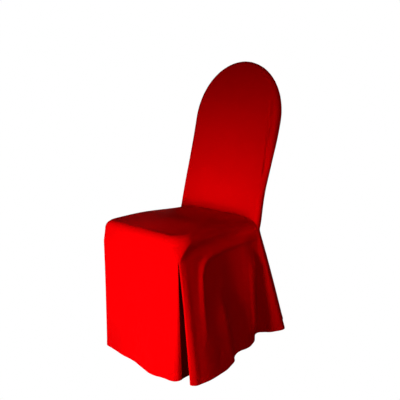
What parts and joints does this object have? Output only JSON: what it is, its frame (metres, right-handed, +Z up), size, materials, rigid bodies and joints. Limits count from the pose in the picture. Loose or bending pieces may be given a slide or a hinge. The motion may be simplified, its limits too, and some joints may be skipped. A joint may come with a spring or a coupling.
{
  "type": "chair cover",
  "caption": "Fitted dome-back chair cover in plain cloth: slips over a banquet chair, with a crowned seat panel, straight front drop, open corner pleats and flared sides.",
  "frame": {"origin": "middle of the footprint, on the floor that the hem reaches", "axes": "+Z up, -Y the way the seat faces, +X to the right of someone who looks at the front"},
  "size_m": [0.505, 0.6202, 1.005],
  "materials": {
    "red_cloth": "plain smooth weave with a faint sheen",
    "pleat_cloth": "plain smooth weave with a faint sheen"
  },
  "bodies": {
    "root": {"seat_top": "red_cloth", "inside_back": "red_cloth", "outside_back": "red_cloth", "front_skirt": "red_cloth", "side_skirt_right": "red_cloth", "side_skirt_left": "red_cloth", "pleat_right": "pleat_cloth", "pleat_left": "pleat_cloth"}
  },
  "joints": []
}
